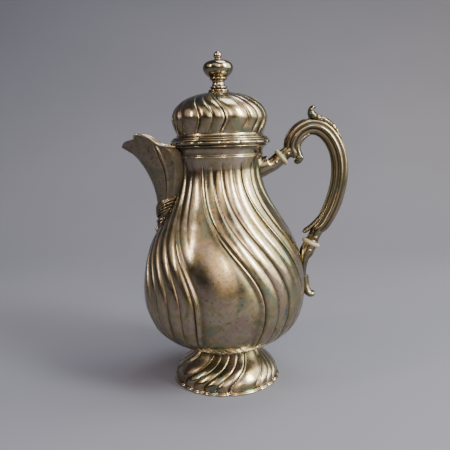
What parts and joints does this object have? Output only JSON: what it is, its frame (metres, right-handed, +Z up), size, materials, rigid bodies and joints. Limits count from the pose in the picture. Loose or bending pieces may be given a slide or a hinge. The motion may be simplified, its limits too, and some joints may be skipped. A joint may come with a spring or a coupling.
{
  "type": "coffee pot",
  "caption": "Fluted pear-shaped silver coffee pot with domed foot, lift-off domed lid with finial, open beak spout and scrolled handle on ivory rings.",
  "frame": {"origin": "centre of the foot at table level", "axes": "+Z up, +X towards the handle, -X towards the spout, Y across"},
  "size_m": [0.1643, 0.1198, 0.24],
  "materials": {
    "fluted_silver": "raised silver, polished and aged, with a warm uneven patina, fine pitting and dark valleys",
    "moulding_silver": "drawn silver wire and mouldings, bright on the edges and dark in the grooves",
    "cast_silver": "cast and chased silver with dark patina in the recesses",
    "silver": "polished silver, aged and softly scratched",
    "ivory": "satin cream ivory with a slight grain"
  },
  "bodies": {
    "pot": {"body_shell": "fluted_silver", "neck_collar": "moulding_silver", "mouth_rim": "moulding_silver", "foot_shell": "fluted_silver", "foot_rim": "moulding_silver", "foot_collar": "moulding_silver", "spout_shell": "silver", "spout_rim_wires": "moulding_silver", "spout_wrap": "cast_silver", "spout_drop": "cast_silver", "upper_socket": "silver", "upper_insulator": "ivory", "upper_insulator_pins": "silver", "upper_ferrule": "silver", "handle_grip": "cast_silver", "thumb_leaf": "cast_silver", "lower_ferrule": "silver", "lower_insulator": "ivory", "lower_insulator_pins": "silver", "lower_socket": "silver", "tail_scroll": "cast_silver"},
    "lid": {"lid_dome": "fluted_silver", "lid_flange": "moulding_silver", "lid_bezel": "silver", "finial_base": "silver", "finial_stem": "silver", "finial_bulb": "silver", "finial_ball": "silver", "finial_stud": "silver", "finial_washer": "silver", "finial_nut": "silver"}
  },
  "joints": [
    {"name": "lid_lift", "type": "slide", "parent": "pot", "child": "lid", "axis": [0, 0, 1], "range_m": [0, 0.06]}
  ]
}
